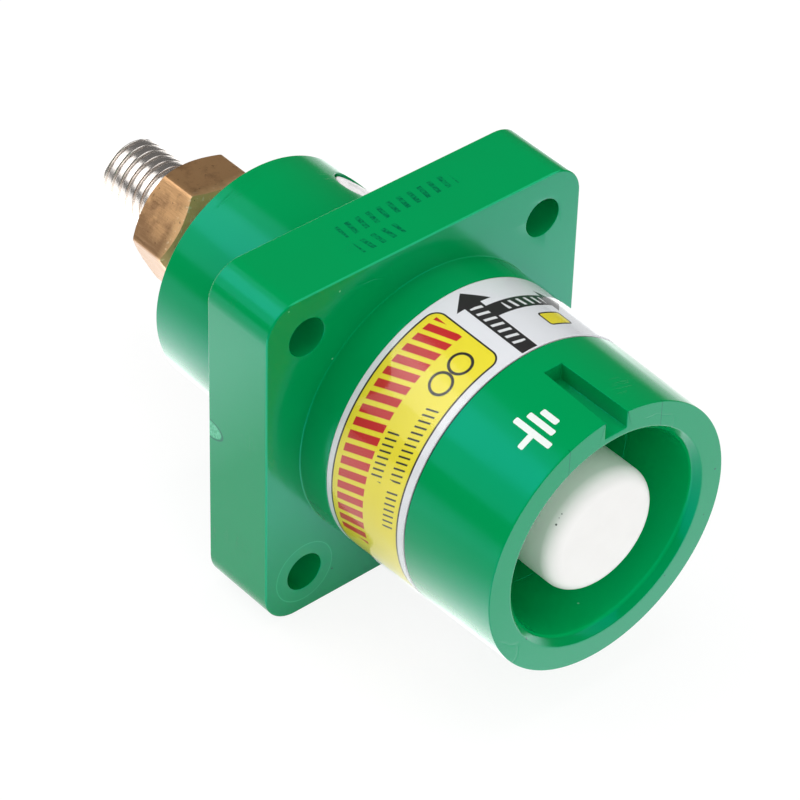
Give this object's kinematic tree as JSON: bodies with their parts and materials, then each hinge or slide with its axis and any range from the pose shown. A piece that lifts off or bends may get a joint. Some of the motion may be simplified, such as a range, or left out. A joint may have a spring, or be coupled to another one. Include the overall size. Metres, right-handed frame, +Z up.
{
  "type": "panel mount power connector",
  "caption": "Square flanged panel connector for one pole, with a keyed ring round a blunt insulated contact and a threaded rear post with nut.",
  "frame": {"origin": "centre of the flange's rear face, on the connector's axis", "axes": "+Y along the axis to the threaded post, -Y to the mating end, +Z up through the keyway, +X to the right seen from the mating end"},
  "size_m": [0.058, 0.1093, 0.058],
  "materials": {
    "green_moulding": "gloss, moulded",
    "white_moulding": "matt, moulded",
    "label_print": "printed film",
    "clear_film": "clear gloss film",
    "plated_metal": "silver plated",
    "brass": "bare machined brass",
    "spring_band": "plated spring sheet",
    "seal_rubber": "matt black",
    "dark_steel": "oiled steel",
    "plug_moulding": "pale grey, moulded"
  },
  "bodies": {
    "root": {"housing": "green_moulding", "front_ring": "green_moulding", "label_wrap": "label_print", "label_sleeve": "clear_film", "nose_cap": "white_moulding", "contact_pin": "plated_metal", "contact_band": "spring_band", "pin_seal": "seal_rubber", "front_seal": "seal_rubber", "rear_seal": "seal_rubber", "thrust_washer": "white_moulding", "retaining_ring": "dark_steel", "lock_screw": "dark_steel", "plug_seal": "seal_rubber", "screw_plug": "plug_moulding", "terminal_stud": "plated_metal", "hex_nut": "brass"}
  },
  "joints": []
}
